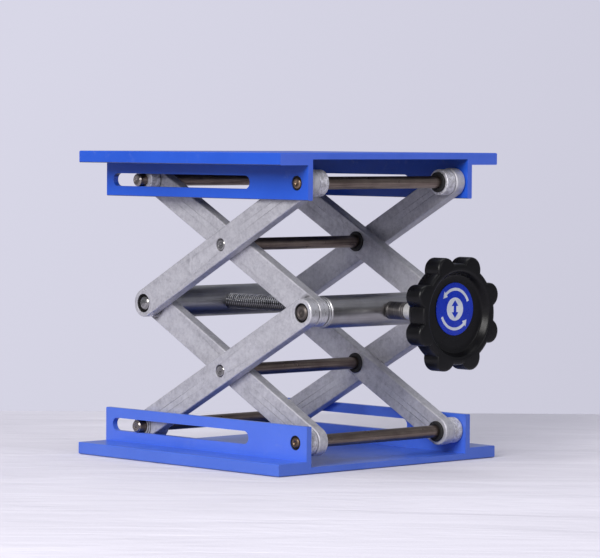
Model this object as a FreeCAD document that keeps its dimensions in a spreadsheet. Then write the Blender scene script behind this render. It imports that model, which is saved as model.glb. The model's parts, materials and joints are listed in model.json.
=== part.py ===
import FreeCAD, Part
import os
import Sketcher
from FreeCAD import Vector, Rotation

# Laboratory scissor jack. Frame: millimetres, +Z up, origin at the centre of the base's underside.
# +X points to the knob, Y runs across the jack along the rods. "near" is the -Y side, "far" the +Y side.
# The jack is drawn part raised, at the angle in the sheet's fold_angle cell.

doc = FreeCAD.newDocument("lab_jack")
sheet = doc.addObject("Spreadsheet::Sheet", "dims")

DIMS = [
    # plates: channels with thick side wings
    ("plate_length", 150.0), ("plate_width", 150.0), ("wing_thick", 6.0), ("web_thick", 3.2),
    ("wing_reach", 18.3), ("flange_thick", 3.1), ("flange_height", 23.0), ("edge_round", 0.6),
    # pivots
    ("pivot_height", 14.7), ("fixed_pivot_x", 66.9), ("pivot_hole", 7.2),
    ("slot_height", 6.5), ("slot_start", 69.7), ("slot_finish", 33.4),
    # arms
    ("arm_centres", 132.7), ("fold_angle", 28.16), ("arm_width", 14.0), ("arm_thick", 6.0),
    ("arm_edge", 0.45), ("rod_hole", 6.4), ("bar_hole", 9.5),
    # side to side stack, measured from the middle
    ("outer_arm_face", 53.3), ("layer_gap", 0.3),
    # rods and what sits on them
    ("rod_dia", 6.2), ("rod_cham", 0.5), ("stake_dia", 7.0), ("stake_end", 57.0), ("slide_end", 58.0),
    ("cross_end", 53.2), ("spacer_dia", 13.0), ("spacer_bore", 6.3), ("washer_dia", 10.3),
    ("washer_thick", 1.2), ("washer_face", 40.9),
    # mid bars
    ("bar_dia", 16.0), ("bar_half", 39.8), ("journal_dia", 9.3), ("journal_end", 53.6), ("bar_cham", 0.8),
    ("shim_dia", 15.0), ("shim_bore", 9.4), ("shim_thick", 1.0), ("nut_bore", 8.2), ("thrust_bore", 6.2),
    ("seat_dia", 11.0), ("seat_depth", 0.6),
    # screw, collar and knob, along X
    ("screw_dia", 8.0), ("screw_tail", 78.4), ("shoulder_x", 59.4), ("neck_dia", 6.0), ("screw_finish", 108.0),
    ("collar_dia", 8.8), ("collar_bore", 6.06), ("collar_start", 74.4), ("collar_finish", 86.6),
    ("pin_dia", 2.0), ("pin_long", 8.0), ("pin_x", 79.4),
    ("bush_dia", 8.2), ("bush_start", 86.8), ("bush_finish", 110.0),
    ("knob_start", 100.5), ("knob_bore", 8.26), ("knob_bore_finish", 110.4), ("hub_radius", 14.2),
    ("hub_root", 16.0), ("rim_back", 111.5), ("rim_front", 121.9), ("disc_radius", 24.6), ("lobe_ring", 23.4),
    ("lobe_radius", 5.7), ("lobe_round", 1.6), ("dish_radius", 19.2), ("dish_floor", 118.0),
    ("label_dia", 25.6), ("label_thick", 0.4), ("label_rise", 2.4),
    ("grub_dia", 4.0), ("grub_long", 9.6), ("grub_x", 105.6),
]
for row, (alias, value) in enumerate(DIMS, start=1):
    sheet.set("A%d" % row, alias)
    sheet.set("B%d" % row, str(value))
    sheet.setAlias("B%d" % row, alias)
doc.recompute()

# positions that follow from the fold
SLIDE_X = "(dims.fixed_pivot_x - dims.arm_centres * cos(dims.fold_angle))"
CROSS_X = "(dims.fixed_pivot_x - dims.arm_centres * cos(dims.fold_angle) / 2)"
STAGE = "(dims.arm_centres * sin(dims.fold_angle))"
BASE_Z = "dims.pivot_height"
LOW_CROSS_Z = "(dims.pivot_height + %s / 2)" % STAGE
MID_Z = "(dims.pivot_height + %s)" % STAGE
HIGH_CROSS_Z = "(dims.pivot_height + %s * 1.5)" % STAGE
TOP_PIVOT_Z = "(dims.pivot_height + %s * 2)" % STAGE
TOP_Z = "(2 * dims.pivot_height + %s * 2)" % STAGE

nodes = []


def place(obj, x="0", y="0", z="0", axis=None, angle=None):
    """Binds an object's place, and its turn about one axis in degrees, to the sheet."""
    if axis is not None:
        obj.Placement = FreeCAD.Placement(Vector(0, 0, 0), Rotation(Vector(*axis), 10.0))
        obj.setExpression("Placement.Rotation.Angle", angle)
    obj.setExpression("Placement.Base.x", x)
    obj.setExpression("Placement.Base.y", y)
    obj.setExpression("Placement.Base.z", z)
    return obj


def keep(obj, label):
    obj.Label = label
    nodes.append(obj)
    return obj


def plane(body, role):
    for feature in body.Origin.OriginFeatures:
        if feature.Role == role:
            return feature
    raise ValueError("no plane " + role)


def sketch_on(body, name, role):
    sk = body.newObject("Sketcher::SketchObject", name)
    sk.AttachmentSupport = [(plane(body, role), "")]
    sk.MapMode = "FlatFace"
    return sk


def name_and_bind(sk, index, name, expr):
    sk.renameConstraint(index, name)
    sk.setExpression("Constraints." + name, expr)


def pin_vertex(sk, geo, pos, ex, ey, tag):
    """Fixes one vertex from the sketch origin. None means that it lies on that axis."""
    if ex is None:
        sk.addConstraint(Sketcher.Constraint("PointOnObject", geo, pos, -2))
    else:
        value = sk.evalExpression(ex)
        i = sk.addConstraint(Sketcher.Constraint("DistanceX", -1, 1, geo, pos, float(value)))
        name_and_bind(sk, i, tag + "_u", ex)
    if ey is None:
        sk.addConstraint(Sketcher.Constraint("PointOnObject", geo, pos, -1))
    else:
        value = sk.evalExpression(ey)
        i = sk.addConstraint(Sketcher.Constraint("DistanceY", -1, 1, geo, pos, float(value)))
        name_and_bind(sk, i, tag + "_v", ey)


def polygon(sk, points):
    """A closed outline through vertices given as pairs of expressions."""
    xy = []
    for ex, ey in points:
        x = 0.0 if ex is None else float(sk.evalExpression(ex))
        y = 0.0 if ey is None else float(sk.evalExpression(ey))
        xy.append(Vector(x, y, 0))
    n = len(xy)
    for i in range(n):
        sk.addGeometry(Part.LineSegment(xy[i], xy[(i + 1) % n]), False)
    for i in range(n):
        sk.addConstraint(Sketcher.Constraint("Coincident", i, 2, (i + 1) % n, 1))
    for i, (ex, ey) in enumerate(points):
        pin_vertex(sk, i, 1, ex, ey, "p%d" % i)


def circle(sk, ex, ey, er, tag):
    """A full circle, its centre pinned from the origin."""
    x = 0.0 if ex is None else float(sk.evalExpression(ex))
    y = 0.0 if ey is None else float(sk.evalExpression(ey))
    r = float(sk.evalExpression(er))
    g = sk.addGeometry(Part.Circle(Vector(x, y, 0), Vector(0, 0, 1), r), False)
    i = sk.addConstraint(Sketcher.Constraint("Radius", g, r))
    name_and_bind(sk, i, tag + "_r", er)
    if ex is None and ey is None:
        sk.addConstraint(Sketcher.Constraint("Coincident", g, 3, -1, 1))
    else:
        pin_vertex(sk, g, 3, ex, ey, tag)
    return g


def stadium(sk, ex0, ex1, ey, er, tag):
    """A slot outline lying along the sketch's first axis, between two end centres."""
    x0 = 0.0 if ex0 is None else float(sk.evalExpression(ex0))
    x1 = float(sk.evalExpression(ex1))
    y = 0.0 if ey is None else float(sk.evalExpression(ey))
    r = float(sk.evalExpression(er))
    up = Vector(0, 0, 1)
    pi = 3.141592653589793
    g = sk.addGeometry(Part.LineSegment(Vector(x0, y - r, 0), Vector(x1, y - r, 0)), False)
    sk.addGeometry(Part.ArcOfCircle(Part.Circle(Vector(x1, y, 0), up, r), -pi / 2, pi / 2), False)
    sk.addGeometry(Part.LineSegment(Vector(x1, y + r, 0), Vector(x0, y + r, 0)), False)
    sk.addGeometry(Part.ArcOfCircle(Part.Circle(Vector(x0, y, 0), up, r), pi / 2, 3 * pi / 2), False)
    sk.addConstraint(Sketcher.Constraint("Tangent", g, 2, g + 1, 1))
    sk.addConstraint(Sketcher.Constraint("Tangent", g + 1, 2, g + 2, 1))
    sk.addConstraint(Sketcher.Constraint("Tangent", g + 2, 2, g + 3, 1))
    sk.addConstraint(Sketcher.Constraint("Tangent", g + 3, 2, g, 1))
    i = sk.addConstraint(Sketcher.Constraint("Radius", g + 1, r))
    name_and_bind(sk, i, tag + "_r", er)
    if ex0 is None and ey is None:
        sk.addConstraint(Sketcher.Constraint("Coincident", g + 3, 3, -1, 1))
    else:
        pin_vertex(sk, g + 3, 3, ex0, ey, tag + "a")
    i = sk.addConstraint(Sketcher.Constraint("DistanceX", g + 3, 3, g + 1, 3, x1 - x0))
    name_and_bind(sk, i, tag + "_span", ex1 if ex0 is None else "%s - (%s)" % (ex1, ex0))
    sk.addConstraint(Sketcher.Constraint("Horizontal", g))


def turned(name, points):
    """A lathe-turned piece: the outline is (along the axis, radius), turned about the local X axis."""
    body = doc.addObject("PartDesign::Body", name)
    sk = sketch_on(body, name + "_outline", "XY_Plane")
    polygon(sk, points)
    turn = body.newObject("PartDesign::Revolution", name + "_turn")
    turn.Profile = sk
    turn.ReferenceAxis = (sk, ["H_Axis"])
    turn.Angle = 360.0
    doc.recompute()
    return body


def along_y(obj, x, z, y="0"):
    """Lays a piece turned about local X along +Y."""
    return place(obj, x, y, z, (0, 0, 1), "90")


# ---------------------------------------------------------------- plates
def plate(label):
    body = doc.addObject("PartDesign::Body", label)
    sk = sketch_on(body, label + "_section", "YZ_Plane")
    side = "(dims.plate_width / 2)"
    out = "(dims.plate_width / 2 - dims.wing_reach)"
    inn = "(dims.plate_width / 2 - dims.wing_reach - dims.flange_thick)"
    right = [(side, None), (side, "dims.wing_thick"), (out, "dims.wing_thick"), (out, "dims.flange_height"),
             (inn, "dims.flange_height"), (inn, "dims.web_thick")]
    left = [("-" + u, v) for u, v in reversed(right)]
    polygon(sk, right + left)
    pad = body.newObject("PartDesign::Pad", label + "_bar")
    pad.Profile = sk
    pad.setExpression("Length", "dims.plate_length")
    pad.SideType = "Symmetric"
    doc.recompute()
    before = pad.Shape.Volume

    cuts = sketch_on(body, label + "_slots", "XZ_Plane")
    r = "(dims.slot_height / 2)"
    stadium(cuts, "-(dims.slot_start - dims.slot_height / 2)", "(dims.slot_finish - dims.slot_height / 2)",
            "dims.pivot_height", r, "slot")
    circle(cuts, "dims.fixed_pivot_x", "dims.pivot_height", "dims.pivot_hole / 2", "pivot")
    pocket = body.newObject("PartDesign::Pocket", label + "_cuts")
    pocket.Profile = cuts
    pocket.Type = "ThroughAll"
    pocket.SideType = "Symmetric"
    doc.recompute()
    lost = before - pocket.Shape.Volume
    if lost < 1000:
        raise RuntimeError(label + ": the slots cut nothing")

    # soften the long edges that a hand meets
    names = []
    half = sheet.plate_length / 2.0
    for i, edge in enumerate(pocket.Shape.Edges, start=1):
        if not isinstance(edge.Curve, Part.Line) or edge.Length < 2 * half - 0.1:
            continue
        y = abs(edge.Vertexes[0].Point.y)
        z = edge.Vertexes[0].Point.z
        if abs(y - sheet.plate_width / 2.0) < 0.01 or abs(z - sheet.flange_height) < 0.01:
            names.append("Edge%d" % i)
    soft = body.newObject("PartDesign::Fillet", label + "_edges")
    soft.Base = (pocket, names)
    soft.setExpression("Radius", "dims.edge_round")
    doc.recompute()
    return keep(body, label)


place(plate("base_plate"))
place(plate("top_plate"), z=TOP_Z, axis=(1, 0, 0), angle="180")


# ---------------------------------------------------------------- arms
def arm(label, x, y, z, angle):
    """One flat arm. Local X runs from its plate end to its mid bar end; it is thick towards -Y."""
    body = doc.addObject("PartDesign::Body", label)
    sk = sketch_on(body, label + "_outline", "XZ_Plane")
    stadium(sk, None, "dims.arm_centres", None, "dims.arm_width / 2", "arm")
    circle(sk, None, None, "dims.rod_hole / 2", "plate_hole")
    circle(sk, "dims.arm_centres / 2", None, "dims.rod_hole / 2", "cross_hole")
    circle(sk, "dims.arm_centres", None, "dims.bar_hole / 2", "bar_hole")
    pad = body.newObject("PartDesign::Pad", label + "_flat")
    pad.Profile = sk
    pad.setExpression("Length", "dims.arm_thick")
    doc.recompute()
    names = []
    for i, edge in enumerate(pad.Shape.Edges, start=1):
        box = edge.BoundBox
        if box.YLength > 0.01:
            continue
        if isinstance(edge.Curve, Part.Circle) and edge.Curve.Radius < sheet.arm_width / 2.0 - 0.5:
            continue
        names.append("Edge%d" % i)
    soft = body.newObject("PartDesign::Chamfer", label + "_edges")
    soft.Base = (pad, names)
    soft.setExpression("Size", "dims.arm_edge")
    doc.recompute()
    place(body, x, y, z, (0, 1, 0), angle)
    return keep(body, label)


NEAR_OUTER = "-(dims.outer_arm_face - dims.arm_thick)"
FAR_OUTER = "dims.outer_arm_face"
NEAR_INNER = "-(dims.outer_arm_face - 2 * dims.arm_thick - dims.layer_gap)"
FAR_INNER = "(dims.outer_arm_face - dims.arm_thick - dims.layer_gap)"
for side, outer, inner in (("near", NEAR_OUTER, NEAR_INNER), ("far", FAR_OUTER, FAR_INNER)):
    arm("lower_outer_arm_" + side, SLIDE_X, outer, BASE_Z, "-dims.fold_angle")
    arm("lower_inner_arm_" + side, "dims.fixed_pivot_x", inner, BASE_Z, "dims.fold_angle - 180")
    arm("upper_outer_arm_" + side, "dims.fixed_pivot_x", outer, TOP_PIVOT_Z, "180 - dims.fold_angle")
    arm("upper_inner_arm_" + side, SLIDE_X, inner, TOP_PIVOT_Z, "dims.fold_angle")


# ---------------------------------------------------------------- rods
def plain_rod(label, half, x, z):
    """A straight rod with chamfered ends, centred on the jack's middle."""
    r = "(dims.rod_dia / 2)"
    c = "dims.rod_cham"
    body = turned(label, [("-%s" % half, None), ("-%s" % half, "%s - %s" % (r, c)), ("-(%s - %s)" % (half, c), r),
                          ("(%s - %s)" % (half, c), r), (half, "%s - %s" % (r, c)), (half, None)])
    along_y(body, x, z)
    return keep(body, label)


def staked_rod(label, x, z):
    """A rod with its ends spread into the flange holes."""
    half = "dims.stake_end"
    r = "(dims.rod_dia / 2)"
    big = "(dims.stake_dia / 2)"
    c = "dims.rod_cham"
    neck = "(dims.outer_arm_face + dims.layer_gap + 0.3)"
    flare = "(dims.outer_arm_face + dims.layer_gap + 0.7)"
    pts = [("-%s" % half, None), ("-%s" % half, "%s - %s" % (big, c)), ("-(%s - %s)" % (half, c), big),
           ("-%s" % flare, big), ("-%s" % neck, r), (neck, r), (flare, big), ("(%s - %s)" % (half, c), big),
           (half, "%s - %s" % (big, c)), (half, None)]
    body = turned(label, pts)
    along_y(body, x, z)
    return keep(body, label)


staked_rod("base_pivot_rod", "dims.fixed_pivot_x", BASE_Z)
staked_rod("top_pivot_rod", "dims.fixed_pivot_x", TOP_PIVOT_Z)
plain_rod("base_slide_rod", "dims.slide_end", SLIDE_X, BASE_Z)
plain_rod("top_slide_rod", "dims.slide_end", SLIDE_X, TOP_PIVOT_Z)
plain_rod("lower_cross_rod", "dims.cross_end", CROSS_X, LOW_CROSS_Z)
plain_rod("upper_cross_rod", "dims.cross_end", CROSS_X, HIGH_CROSS_Z)


# ---------------------------------------------------------------- rings on the rods
def ring(name, outer, bore, thick, x, y, z):
    """A plain ring about the Y direction; y is its face nearer -Y."""
    big = doc.addObject("Part::Cylinder", name + "_outside")
    big.setExpression("Radius", outer + " / 2")
    big.setExpression("Height", thick)
    small = doc.addObject("Part::Cylinder", name + "_bore")
    small.setExpression("Radius", bore + " / 2")
    small.setExpression("Height", thick + " + 2")
    place(small, z="-1")
    cut = doc.addObject("Part::Cut", name)
    cut.Base = big
    cut.Tool = small
    place(cut, x, y, z, (1, 0, 0), "-90")
    return cut


def ring_pair(label, outer, bore, thick, face, x, z):
    """Two equal rings, one each side; face is the distance of their outer faces from the middle."""
    near = ring(label + "_near", outer, bore, thick, x, "-%s" % face, z)
    far = ring(label + "_far", outer, bore, thick, x, "(%s - %s)" % (face, thick), z)
    pair = doc.addObject("Part::Compound", label)
    pair.Links = [near, far]
    return keep(pair, label)


OUT_FACE = "dims.outer_arm_face"
IN_FACE = "(dims.outer_arm_face - dims.arm_thick - dims.layer_gap)"
for label, face, x, z in (("base_pivot_spacer", OUT_FACE, "dims.fixed_pivot_x", BASE_Z),
                          ("base_slide_spacer", IN_FACE, SLIDE_X, BASE_Z),
                          ("top_pivot_spacer", IN_FACE, "dims.fixed_pivot_x", TOP_PIVOT_Z),
                          ("top_slide_spacer", OUT_FACE, SLIDE_X, TOP_PIVOT_Z)):
    keep(ring(label + "_near", "dims.spacer_dia", "dims.spacer_bore", "dims.arm_thick", x, "-" + face, z),
         label + "_near")
    keep(ring(label + "_far", "dims.spacer_dia", "dims.spacer_bore", "dims.arm_thick", x,
              "(%s - dims.arm_thick)" % face, z), label + "_far")

for label, x, z in (("base_pivot_washers", "dims.fixed_pivot_x", BASE_Z),
                    ("lower_cross_washers", CROSS_X, LOW_CROSS_Z),
                    ("upper_cross_washers", CROSS_X, HIGH_CROSS_Z),
                    ("top_pivot_washers", "dims.fixed_pivot_x", TOP_PIVOT_Z)):
    ring_pair(label, "dims.washer_dia", "dims.spacer_bore", "dims.washer_thick", "dims.washer_face", x, z)
ring_pair("nut_bar_washers", "dims.shim_dia", "dims.shim_bore", "dims.shim_thick", "dims.washer_face", SLIDE_X, MID_Z)
ring_pair("thrust_bar_washers", "dims.shim_dia", "dims.shim_bore", "dims.shim_thick", "dims.washer_face",
          "dims.fixed_pivot_x", MID_Z)


# ---------------------------------------------------------------- mid bars
def mid_bar(label, x, bore, seats):
    """A round bar with turned-down ends and a hole straight through its middle for the screw."""
    half, end = "dims.bar_half", "dims.journal_end"
    r, j, c = "(dims.bar_dia / 2)", "(dims.journal_dia / 2)", "dims.bar_cham"
    body = turned(label, [
        ("-%s" % end, None), ("-%s" % end, "%s - %s" % (j, c)), ("-(%s - %s)" % (end, c), j), ("-%s" % half, j),
        ("-%s" % half, "%s - %s" % (r, c)), ("-(%s - %s)" % (half, c), r), ("(%s - %s)" % (half, c), r),
        (half, "%s - %s" % (r, c)), (half, j), ("(%s - %s)" % (end, c), j), (end, "%s - %s" % (j, c)), (end, None)])
    before = body.Shape.Volume
    sk = sketch_on(body, label + "_hole", "XZ_Plane")
    circle(sk, None, None, bore + " / 2", "hole")
    hole = body.newObject("PartDesign::Pocket", label + "_drilled")
    hole.Profile = sk
    hole.Type = "ThroughAll"
    hole.SideType = "Symmetric"
    doc.recompute()
    if body.Shape.Volume > before - 300:
        raise RuntimeError(label + ": the screw hole cut nothing")
    if seats:
        # a flat seat each side, where the screw's shoulder and the collar bear
        before = body.Shape.Volume
        for sign, tag in ((-1, "outer"), (1, "inner")):
            sk = sketch_on(body, label + "_seat_" + tag, "XZ_Plane")
            circle(sk, None, None, "dims.seat_dia / 2", "seat")
            face = "dims.bar_dia / 2 - dims.seat_depth"
            sk.setExpression("AttachmentOffset.Base.z", face if sign < 0 else "-(%s)" % face)
            cut = body.newObject("PartDesign::Pocket", label + "_seat_cut_" + tag)
            cut.Profile = sk
            cut.Length = 6.0
            cut.Reversed = sign < 0
            doc.recompute()
            if body.Shape.Volume > before - 4:
                raise RuntimeError(label + ": a seat cut nothing, " + tag)
            before = body.Shape.Volume
    along_y(body, x, MID_Z)
    return keep(body, label)


mid_bar("nut_bar", SLIDE_X, "dims.nut_bore", False)
mid_bar("thrust_bar", "dims.fixed_pivot_x", "dims.thrust_bore", True)

# ---------------------------------------------------------------- screw, collar and knob
R = "(dims.screw_dia / 2)"
NECK = "(dims.neck_dia / 2)"
screw = turned("lead_screw", [
    ("-dims.screw_tail", None), ("-dims.screw_tail", R + " - 0.9"), ("-(dims.screw_tail - 0.9)", R),
    ("(dims.shoulder_x - 0.1)", R), ("(dims.shoulder_x - 0.1)", NECK), ("(dims.screw_finish - 0.6)", NECK),
    ("dims.screw_finish", NECK + " - 0.6"), ("dims.screw_finish", None)])
# cross hole for the collar's pin
sk = sketch_on(screw, "lead_screw_pin_hole", "XY_Plane")
circle(sk, "dims.pin_x", None, "dims.pin_dia / 2", "pin")
drill = screw.newObject("PartDesign::Pocket", "lead_screw_drilled")
drill.Profile = sk
drill.Type = "ThroughAll"
drill.SideType = "Symmetric"
doc.recompute()
place(screw, z=MID_Z)
keep(screw, "lead_screw")

collar = turned("thrust_collar", [
    ("dims.collar_start", "dims.collar_bore / 2"), ("dims.collar_start", "dims.collar_dia / 2 - 0.4"),
    ("dims.collar_start + 0.4", "dims.collar_dia / 2"), ("dims.collar_finish - 0.4", "dims.collar_dia / 2"),
    ("dims.collar_finish", "dims.collar_dia / 2 - 0.4"), ("dims.collar_finish", "dims.collar_bore / 2")])
sk = sketch_on(collar, "thrust_collar_pin_hole", "XY_Plane")
circle(sk, "dims.pin_x", None, "dims.pin_dia / 2", "pin")
drill = collar.newObject("PartDesign::Pocket", "thrust_collar_drilled")
drill.Profile = sk
drill.Type = "ThroughAll"
drill.SideType = "Symmetric"
doc.recompute()
place(collar, z=MID_Z)
keep(collar, "thrust_collar")

pin = turned("collar_pin", [
    ("-(dims.pin_long / 2)", None), ("-(dims.pin_long / 2)", "dims.pin_dia / 2 - 0.3"),
    ("-(dims.pin_long / 2 - 0.3)", "dims.pin_dia / 2 - 0.02"), ("(dims.pin_long / 2 - 0.3)", "dims.pin_dia / 2 - 0.02"),
    ("(dims.pin_long / 2)", "dims.pin_dia / 2 - 0.3"), ("(dims.pin_long / 2)", None)])
place(pin, "dims.pin_x", "0", MID_Z, (0, 1, 0), "90")
keep(pin, "collar_pin")

bush = turned("knob_bush", [
    ("dims.bush_start", "dims.collar_bore / 2"), ("dims.bush_start", "dims.bush_dia / 2 - 0.4"),
    ("dims.bush_start + 0.4", "dims.bush_dia / 2"), ("dims.bush_finish", "dims.bush_dia / 2"),
    ("dims.bush_finish", "dims.collar_bore / 2")])
place(bush, z=MID_Z)
keep(bush, "knob_bush")

# knob: a turned core with a dished face, and eight round lobes
core = turned("knob_core", [
    ("dims.knob_start", "dims.knob_bore / 2"), ("dims.knob_start", "dims.hub_radius - 1.2"),
    ("dims.knob_start + 1.2", "dims.hub_radius"), ("dims.rim_back - 1", "dims.hub_root"),
    ("dims.rim_back", "dims.hub_root + 1.5"), ("dims.rim_back", "dims.disc_radius - 1.6"),
    ("dims.rim_back + 1.6", "dims.disc_radius"), ("dims.rim_front - 1.6", "dims.disc_radius"),
    ("dims.rim_front", "dims.disc_radius - 1.6"), ("dims.rim_front", "dims.dish_radius + 2.1"),
    ("dims.dish_floor", "dims.dish_radius - 0.6"), ("dims.dish_floor", None), ("dims.knob_bore_finish", None),
    ("dims.knob_bore_finish", "dims.knob_bore / 2")])
lobes = []
for k in range(8):
    turn = "%g" % (22.5 + 45.0 * k)
    peg = doc.addObject("Part::Cylinder", "knob_lobe_peg_%d" % k)
    peg.setExpression("Radius", "dims.lobe_radius")
    peg.setExpression("Height", "dims.rim_front - dims.rim_back")
    doc.recompute()
    rounded = doc.addObject("Part::Fillet", "knob_lobe_%d" % k)
    rounded.Base = peg
    edges = [(i, sheet.lobe_round, sheet.lobe_round) for i, e in enumerate(peg.Shape.Edges, start=1)
             if isinstance(e.Curve, Part.Circle)]
    rounded.Edges = edges
    place(rounded, "dims.rim_back", "dims.lobe_ring * sin(%s)" % turn, "-(dims.lobe_ring * cos(%s))" % turn,
          (0, 1, 0), "90")
    lobes.append(rounded)
doc.recompute()
star = doc.addObject("Part::MultiFuse", "knob_star")
star.Shapes = [core] + lobes
# the dish is cut again, because the lobes reach over its edge
dish = doc.addObject("Part::Cylinder", "knob_dish")
dish.setExpression("Radius", "dims.dish_radius - 0.6")
dish.setExpression("Height", "5")
place(dish, "dims.dish_floor", "0", "0", (0, 1, 0), "90")
cone = doc.addObject("Part::Cone", "knob_dish_edge")
cone.setExpression("Radius1", "dims.dish_radius - 0.6")
cone.setExpression("Radius2", "dims.dish_radius + 2.1")
cone.setExpression("Height", "dims.rim_front - dims.dish_floor")
place(cone, "dims.dish_floor", "0", "0", (0, 1, 0), "90")
grub_hole = doc.addObject("Part::Cylinder", "knob_grub_hole")
grub_hole.setExpression("Radius", "dims.grub_dia / 2 + 0.03")
grub_hole.setExpression("Height", "dims.hub_root + 6")
place(grub_hole, "dims.grub_x", "0", "0", (1, 0, 0), "-90")
tools = doc.addObject("Part::MultiFuse", "knob_cutters")
tools.Shapes = [dish, cone, grub_hole]
knob = doc.addObject("Part::Cut", "knob")
knob.Base = star
knob.Tool = tools
place(knob, z=MID_Z)
keep(knob, "knob")

label_disc = turned("knob_label", [
    ("dims.dish_floor + 0.02", None), ("dims.dish_floor + 0.02", "dims.label_dia / 2"),
    ("dims.dish_floor + 0.02 + dims.label_thick", "dims.label_dia / 2"),
    ("dims.dish_floor + 0.02 + dims.label_thick", None)])
place(label_disc, z=MID_Z + " + dims.label_rise")
keep(label_disc, "knob_label")

# grub screw, from the bush's outside to just under the hub's surface
grub = turned("knob_grub_screw", [
    (None, None), (None, "dims.grub_dia / 2 - 0.7"), ("0.7", "dims.grub_dia / 2"),
    ("dims.grub_long - 0.3", "dims.grub_dia / 2"), ("dims.grub_long", "dims.grub_dia / 2 - 0.3"),
    ("dims.grub_long", "1.0"), ("dims.grub_long - 2", "1.0"), ("dims.grub_long - 2", None)])
place(grub, "dims.grub_x", "dims.bush_dia / 2 + 0.05", MID_Z, (0, 0, 1), "90")
keep(grub, "knob_grub_screw")

# ---------------------------------------------------------------- check and write
doc.recompute()
for obj in doc.Objects:
    if "Invalid" in obj.State or "Error" in obj.State:
        raise RuntimeError("%s: %s" % (obj.Name, obj.State))
seen = set()
for obj in nodes:
    shape = obj.Shape
    if shape.isNull() or not shape.isValid() or not shape.Solids:
        raise RuntimeError(obj.Label + ": bad shape")
    if obj.Label in seen:
        raise RuntimeError(obj.Label + ": used twice")
    seen.add(obj.Label)

os.makedirs("parts", exist_ok=True)
for obj in nodes:
    obj.Shape.exportStep("parts/%s.step" % obj.Label)
    box = obj.Shape.BoundBox
    print("%-24s %2d solid %9.1f mm3  x %7.2f %7.2f  y %7.2f %7.2f  z %7.2f %7.2f" % (
        obj.Label, len(obj.Shape.Solids), obj.Shape.Volume, box.XMin, box.XMax, box.YMin, box.YMax, box.ZMin, box.ZMax))
print(len(nodes), "nodes")
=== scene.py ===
import json
import math
import bmesh
import bpy
from mathutils import Matrix, Vector


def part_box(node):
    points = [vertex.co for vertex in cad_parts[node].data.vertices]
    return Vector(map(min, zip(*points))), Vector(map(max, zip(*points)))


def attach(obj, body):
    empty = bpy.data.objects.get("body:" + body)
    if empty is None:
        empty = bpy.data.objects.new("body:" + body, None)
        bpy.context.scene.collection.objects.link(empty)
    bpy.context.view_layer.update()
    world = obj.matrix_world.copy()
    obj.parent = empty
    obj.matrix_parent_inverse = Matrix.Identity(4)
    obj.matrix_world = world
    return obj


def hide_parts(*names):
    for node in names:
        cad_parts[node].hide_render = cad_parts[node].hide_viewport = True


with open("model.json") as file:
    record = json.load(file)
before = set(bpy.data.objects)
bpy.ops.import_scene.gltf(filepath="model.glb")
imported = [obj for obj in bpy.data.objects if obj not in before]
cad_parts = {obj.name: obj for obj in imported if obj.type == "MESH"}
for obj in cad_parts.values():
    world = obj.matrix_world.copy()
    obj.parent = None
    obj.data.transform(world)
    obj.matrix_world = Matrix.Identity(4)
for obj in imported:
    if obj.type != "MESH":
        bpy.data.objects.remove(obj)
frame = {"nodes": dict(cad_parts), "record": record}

# Laboratory scissor jack. Metres, in the CAD frame: +Z up, +X towards the knob, Y across along the rods.

MM = 0.001
scene = bpy.context.scene
scene.view_settings.view_transform = "Standard"
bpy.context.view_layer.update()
NODES = frame["nodes"]
BODY = {n: b for b, ns in frame["record"]["behaviour"]["bodies"].items() for n in ns}
TAU = 2 * math.pi


def middle(node):
    lo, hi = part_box(node)
    return Vector([(a + b) / 2 for a, b in zip(lo, hi)])


def srgb(r, g, b, a=1.0):
    """Linear colour from 0-255 screen values."""
    f = lambda c: (c / 255) / 12.92 if c / 255 <= 0.04045 else ((c / 255 + 0.055) / 1.055) ** 2.4
    return (f(r), f(g), f(b), a)


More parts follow.
